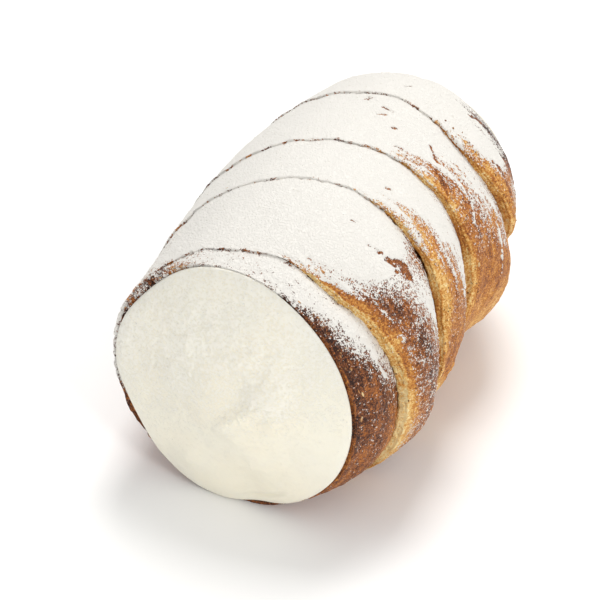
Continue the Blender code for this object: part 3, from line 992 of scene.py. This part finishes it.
def scatter(name, places, sizes, lean, material, rng):
    """One piece of many small lumps; sizes gives each one's length, width and thickness."""
    place, normal, along = (np.concatenate(parts) for parts in zip(*places))
    normal = unit(normal + lean * rng.normal(size=normal.shape))
    along = along + lean * rng.normal(size=along.shape)
    beside = unit(np.cross(normal, along))
    axes = np.stack((np.cross(beside, normal), beside, normal), axis=1)
    corners, faces = ball()
    lumps = corners[None] * (1 + LUMPINESS * rng.normal(size=(len(place), len(corners), 1)))
    lumps = np.einsum("nci,nij->ncj", lumps * sizes[:, None] / 2, axes)
    lumps = lumps + (place + normal * sizes[:, 2:] * LUMP_RISE)[:, None]
    lumps[..., 2] = np.maximum(lumps[..., 2], LUMP_LOWEST)
    faces = faces[None] + len(corners) * np.arange(len(place))[:, None, None]
    piece = make_mesh(name, lumps.reshape(-1, 3), [faces.reshape(-1, 3)], material, smooth=False)
    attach(piece, "root")


def grain_sizes(count, span, shape, rng):
    """Length, width and thickness of each lump, most of them small."""
    size = span[0] + (span[1] - span[0]) * rng.random((count, 1)) ** 2
    return size * np.array(shape)


def grain_weight(skin):
    """Where loose sugar grains lie: mostly where the sugar coat thins out, and in the seams."""
    thin = (4 * skin.sugar * (1 - skin.sugar)) ** 2 + 0.25 * skin.sugar
    seam = (1 - ease(skin.seam / 1.2)) * ease((skin.angle - 20) / 50)
    return (thin + 0.7 * seam + 0.02) * around(skin.angle, *GRAINS_LIE) * (1 - skin.hidden)


def crumb_weight(skin):
    """Where crumbs and flakes of crust lie: along the turns' edges, most on the right flank."""
    edge = 1 - ease(np.abs(skin.across - 1.2) / 1.6)
    foot = 1 - ease(skin.to_next / 1.0)
    right = around(skin.angle, *CRUMBS_LIE)
    return ((edge + 0.6 * foot) * (0.02 + right) + 0.001) * (1 - skin.hidden)


def strew(skins, foam_front, materials):
    """Lay the loose grains, crumbs and flakes on the finished surfaces."""
    rng = np.random.default_rng(RANDOM_SEED)

    def on_skins(weight_of, count):
        weights = [weight_of(skin) for skin in skins]
        share = np.array([weight.sum() for weight in weights])
        counts = np.round(count * share / share.sum()).astype(int)
        return [pick_places(skin.points, weight, number, rng)
                for skin, weight, number in zip(skins, weights, counts)]

    _, share, across, up = end_places(FOAM_ROWS)
    dusted = 0.6 * dusting(across, up) + ease((share - 0.9) / 0.1) * (up > -0.3)
    foam_places = pick_places(foam_front, dusted, FOAM_GRAINS, rng)
    for name, slot, places, span, shape, lean in (
            ("sugar_grains", "sugar", on_skins(grain_weight, GRAINS - FOAM_GRAINS) + [foam_places],
             GRAIN_SIZE, (1.0, 0.9, 0.7), 0.5),
            ("crust_crumbs", "crust", on_skins(crumb_weight, CRUMBS), CRUMB_SIZE,
             (1.0, 0.75, 0.6), 0.5),
            ("crust_flakes", "crust", on_skins(crumb_weight, FLAKES), FLAKE_SIZE,
             (1.0, 0.4, 0.10), 0.16)):
        count = sum(len(group[0]) for group in places)
        sizes = grain_sizes(count, span, shape, rng)
        scatter(name, places, sizes, lean, materials[name], rng)


# ---------------------------------------------------------------- materials
# Crust colours from light to dark; the dark end also gives the painted shade in gaps and pits.
CRUST_STOPS = ((0.00, srgb(252, 230, 174)), (0.16, srgb(244, 206, 134)),
               (0.34, srgb(220, 160, 82)), (0.52, srgb(193, 121, 56)),
               (0.68, srgb(154, 92, 50)), (0.84, srgb(110, 66, 44)), (1.0, srgb(54, 34, 28)))
SUGAR_COLOUR = srgb(238, 235, 229)
DUST_COLOUR = srgb(172, 150, 144)  # sugar so thin that the dark crust shows through
# Depth in mm of the fine relief that the materials add.
SUGAR_BUMP = 0.07
PORE_BUMP = 0.12
SPECK_BUMP = 0.2
FOAM_BUMP = 0.05


def crust_material():
    """Baked dough, light to nearly black, powdered sugar on it, and painted shade in gaps and pits.
    """
    nodes = Nodes("crust")
    sugar = nodes.value("sugar")
    pore = nodes.ramp(nodes.noise(0.45, detail=3.0, roughness=0.65), 0.35, 0.65)
    patch = nodes.ramp(nodes.noise(1.7, detail=2.0), 0.35, 0.65)
    # This darkness holds the bake and the painted shade of gaps and pits.
    bake = nodes.sum(nodes.value("bake"), 1.0, -0.30)
    bake = nodes.sum(pore, 0.24, nodes.sum(patch, 0.08, bake))
    bake = nodes.sum(nodes.cells(0.24), 0.28, bake)
    crust = nodes.colours(bake, CRUST_STOPS)
    clump = nodes.ramp(nodes.noise(0.9, detail=3.0, roughness=0.6), 0.38, 0.62)
    spread = nodes.sum(nodes.cells(0.22), -0.58, nodes.sum(nodes.cells(0.48), -0.22))
    spread = nodes.sum(clump, -0.20, spread)
    lies = nodes.ramp(nodes.sum(sugar, 1.08, spread), -0.08, 0.06)
    dust = nodes.ramp(nodes.sum(sugar, 1.0, nodes.sum(clump, -0.2)), 0.0, 0.9, 0.0, 0.5)
    colour = nodes.blend(lies, nodes.blend(dust, crust, DUST_COLOUR), SUGAR_COLOUR)
    return nodes.finish(Base_Color=colour, Roughness=nodes.ramp(lies, 0.0, 1.0, 0.48, 0.95),
                        Specular_IOR_Level=0.16,
                        Normal=nodes.bump(lies, SUGAR_BUMP, nodes.bump(pore, PORE_BUMP)))


def foam_material():
    """Stiff egg-white foam: smooth, creamy white and a little see-through."""
    nodes = Nodes("foam")
    cloud = nodes.ramp(nodes.noise(14.0, detail=2.0), 0.35, 0.65)
    fine = nodes.noise(0.5, detail=2.0)
    dust = nodes.value("dust")
    specks = nodes.ramp(nodes.sum(dust, 0.8, nodes.sum(nodes.cells(0.34), -1.0)), -0.1, 0.2)
    smooth = nodes.blend(cloud, srgb(242, 238, 222), srgb(246, 240, 221))
    colour = nodes.blend(nodes.sum(specks, 0.5), smooth, srgb(246, 244, 236))
    return nodes.finish(Base_Color=colour, Roughness=nodes.ramp(dust, 0.0, 1.0, 0.34, 0.6),
                        Specular_IOR_Level=0.4, Subsurface_Weight=0.15,
                        Subsurface_Radius=(0.002, 0.0018, 0.0014), Subsurface_Scale=1.0,
                        Normal=nodes.bump(specks, SPECK_BUMP, nodes.bump(fine, FOAM_BUMP)))


def grain_material(name, first, second, roughness):
    """Loose bits whose colour wanders between two colours."""
    nodes = Nodes(name)
    wander = nodes.ramp(nodes.noise(1.5, detail=1.0), 0.35, 0.65)
    return nodes.finish(Base_Color=nodes.blend(wander, first, second), Roughness=roughness,
                        Specular_IOR_Level=0.3)


def floor_material():
    """Plain pale floor."""
    return Nodes("floor").finish(Base_Color=(0.96, 0.96, 0.96, 1.0), Roughness=0.9,
                                 Specular_IOR_Level=0.1)


# ---------------------------------------------------------------- floor, light and camera
CAMERA_AZIMUTH = 28.86
CAMERA_ELEVATION = 39.49
CAMERA_TARGET = Vector((-5.84, -5.22, 22.58)) * MM
CAMERA_DISTANCE = 0.702
CAMERA_LENS = 215.3
CAMERA_SENSOR = 36.0
FLOOR_HALF = 3000.0
SURROUND_STRENGTH = 0.63
# Each lamp's name, azimuth, elevation, distance and size in metres, power in watts and colour.
LAMPS = (("overhead", 196, 68, 1.0, 0.35, 5.5, (1.0, 0.99, 0.97)),
         ("front", 62, 30, 1.2, 0.25, 4.0, (1.0, 0.98, 0.95)))


def make_floor():
    """A plain pale floor under the roll."""
    corners = FLOOR_HALF * np.array(((-1, -1, 0), (1, -1, 0), (1, 1, 0), (-1, 1, 0)))
    floor = make_mesh("floor", corners, [np.array([[0, 1, 2, 3]])], floor_material(), smooth=False)


def face_roll(item, azimuth, elevation, distance, target=Vector()):
    """Place a lamp or camera at an azimuth and elevation round a target, and turn it there."""
    turn, lift = math.radians(azimuth), math.radians(elevation)
    back = Vector((math.sin(turn) * math.cos(lift), -math.cos(turn) * math.cos(lift),
                   math.sin(lift)))
    item.location = target + back * distance
    item.rotation_euler = back.to_track_quat("Z", "Y").to_euler()


def add_light(name, azimuth, elevation, distance, size, power, colour):
    """A soft square lamp that faces the roll."""
    lamp = bpy.data.lights.new(name, "AREA")
    lamp.size = size
    lamp.energy = power
    lamp.color = colour
    face_roll(add_object(name, lamp), azimuth, elevation, distance)


def light_scene():
    """Plain soft studio light: a pale surround, a large lamp overhead and a weaker one in front."""
    bpy.context.scene.view_settings.view_transform = "Standard"
    world = bpy.data.worlds.new("surround")
    world.use_nodes = True
    surround = world.node_tree.nodes["Background"].inputs
    surround["Color"].default_value = (1.0, 1.0, 1.0, 1.0)
    surround["Strength"].default_value = SURROUND_STRENGTH
    bpy.context.scene.world = world
    for lamp in LAMPS:
        add_light(*lamp)


def add_camera():
    """The camera, looking down on the front end from the right."""
    data = bpy.data.cameras.new("camera")
    data.sensor_width = CAMERA_SENSOR
    data.lens = CAMERA_LENS
    data.clip_start, data.clip_end = 0.05, 20.0
    camera = add_object("camera", data)
    face_roll(camera, CAMERA_AZIMUTH, CAMERA_ELEVATION, CAMERA_DISTANCE, CAMERA_TARGET)
    bpy.context.scene.camera = camera


# ---------------------------------------------------------------- all together
add_camera()
light_scene()
make_floor()
crust = crust_material()
skins = [make_strip(number, first, last, crust)
         for number, (first, last) in enumerate(zip(PIECE_CUTS, PIECE_CUTS[1:]), start=1)]
foam_front = make_foam(foam_material())
strew(skins, foam_front, {
    "sugar_grains": grain_material("loose_sugar", srgb(246, 244, 240), srgb(238, 234, 226), 0.7),
    "crust_crumbs": grain_material("crumbs", srgb(192, 146, 98), srgb(112, 74, 52), 0.7),
    "crust_flakes": grain_material("flakes", srgb(226, 194, 142), srgb(178, 122, 70), 0.5)})
